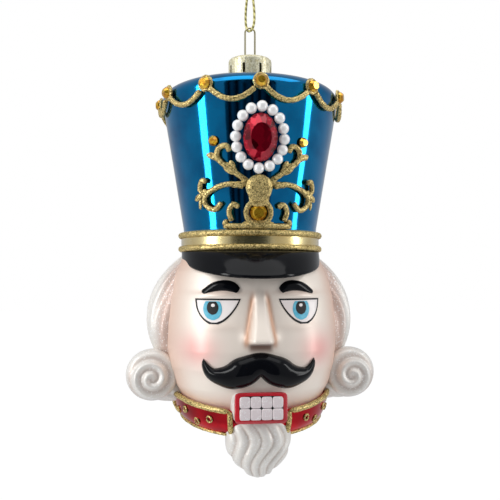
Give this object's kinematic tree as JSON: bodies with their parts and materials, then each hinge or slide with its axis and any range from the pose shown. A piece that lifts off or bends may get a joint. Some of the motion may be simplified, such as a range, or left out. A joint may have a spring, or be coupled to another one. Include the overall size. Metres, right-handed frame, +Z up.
{
  "type": "nutcracker head hanging ornament",
  "caption": "Hanging blown-glass ornament in the shape of a nutcracker's head: tall jewelled hat, visor, curls, moustache and beard, with a metal cap, wire loop and gold thread.",
  "frame": {"origin": "where the thread bears, at the inner top of the wire loop", "axes": "+Z up, the face looks along -Y, +X is on the right as the face is seen from the front"},
  "size_m": [0.0826, 0.07, 0.1626],
  "materials": {
    "lacquered_glass": "silvered glass with transparent blue, red and gold lacquer, black enamel and pearl paint",
    "gold_glitter": "glitter in clear glue",
    "amber_glass": "foil-backed faceted stone",
    "ruby_glass": "foil-backed faceted stone",
    "pearl_bead": "pearlised bead",
    "pale_brass": "bright pale brass",
    "spring_wire": "drawn spring wire",
    "gold_thread": "twisted metallic thread"
  },
  "bodies": {
    "glass": {"band_line_bottom": "gold_glitter", "band_line_top": "gold_glitter", "collar_trim_left": "gold_glitter", "collar_trim_right": "gold_glitter", "crest_column": "gold_glitter", "crest_stone": "amber_glass", "flank_stone_left": "amber_glass", "flank_stone_right": "amber_glass", "glass_shell": "lacquered_glass", "pearl_01": "pearl_bead", "pearl_02": "pearl_bead", "pearl_03": "pearl_bead", "pearl_04": "pearl_bead", "pearl_05": "pearl_bead", "pearl_06": "pearl_bead", "pearl_07": "pearl_bead", "pearl_08": "pearl_bead", "pearl_09": "pearl_bead", "pearl_10": "pearl_bead", "pearl_11": "pearl_bead", "pearl_12": "pearl_bead", "pearl_13": "pearl_bead", "pearl_14": "pearl_bead", "pearl_15": "pearl_bead", "pearl_16": "pearl_bead", "rim_stone_01": "amber_glass", "rim_stone_02": "amber_glass", "rim_stone_03": "amber_glass", "rim_stone_04": "amber_glass", "rim_stone_05": "amber_glass", "rim_stone_06": "amber_glass", "rim_stone_07": "amber_glass", "rim_stone_08": "amber_glass", "rim_stone_09": "amber_glass", "rim_stone_10": "amber_glass", "rim_stone_11": "amber_glass", "ruby_gem": "ruby_glass", "scroll_lower_left": "gold_glitter", "scroll_lower_right": "gold_glitter", "scroll_side_left": "gold_glitter", "scroll_side_right": "gold_glitter", "scroll_upper_left": "gold_glitter", "scroll_upper_right": "gold_glitter", "swag_01": "gold_glitter", "swag_02": "gold_glitter", "swag_03": "gold_glitter", "swag_04": "gold_glitter", "swag_05": "gold_glitter", "swag_06": "gold_glitter", "swag_07": "gold_glitter", "swag_08": "gold_glitter", "swag_09": "gold_glitter", "swag_10": "gold_glitter", "swag_11": "gold_glitter"},
    "cap": {"cap": "pale_brass"},
    "hanger": {"hanger_wire": "spring_wire"},
    "thread": {"hanging_thread": "gold_thread", "thread_knot": "gold_thread"}
  },
  "joints": [
    {"name": "cap_pull", "type": "slide", "parent": "glass", "child": "cap", "axis": [0, 0, 1], "range_m": [0, 0.032]},
    {"name": "loop_push", "type": "slide", "parent": "cap", "child": "hanger", "axis": [0, 0, 1], "range_m": [-0.003, 0]},
    {"name": "thread_swing", "type": "hinge", "parent": "hanger", "child": "thread", "pos_m": [0, 0, 0.0003], "axis": [1, 0, 0], "range_deg": [-90, 90]}
  ]
}
